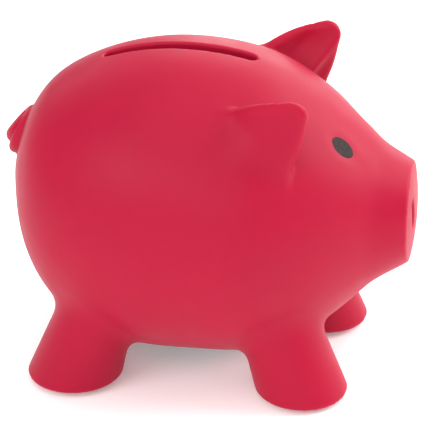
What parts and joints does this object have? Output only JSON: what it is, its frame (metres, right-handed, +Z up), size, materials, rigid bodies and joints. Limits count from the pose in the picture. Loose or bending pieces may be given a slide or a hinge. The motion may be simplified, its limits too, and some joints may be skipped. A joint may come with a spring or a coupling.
{
  "type": "pig coin bank",
  "caption": "Hollow soft-PVC pig money box with a long coin slot along its back and a pull-out belly plug for emptying it.",
  "frame": {"origin": "on the ground, under the middle of the pig's overall length and width", "axes": "+X from rump to snout, +Y to the pig's left, +Z up"},
  "size_m": [0.1092, 0.0826, 0.0868],
  "materials": {
    "shell_pvc": "soft matte moulded PVC",
    "plug_pvc": "soft matte black PVC",
    "eye_ink": "satin dark grey print"
  },
  "bodies": {
    "bank": {"body_shell": "shell_pvc", "eye_left": "eye_ink", "eye_right": "eye_ink"},
    "plug": {"belly_plug": "plug_pvc"}
  },
  "joints": [
    {"name": "plug_pull", "type": "slide", "parent": "bank", "child": "plug", "axis": [0, 0, -1], "range_m": [0, 0.016]}
  ]
}
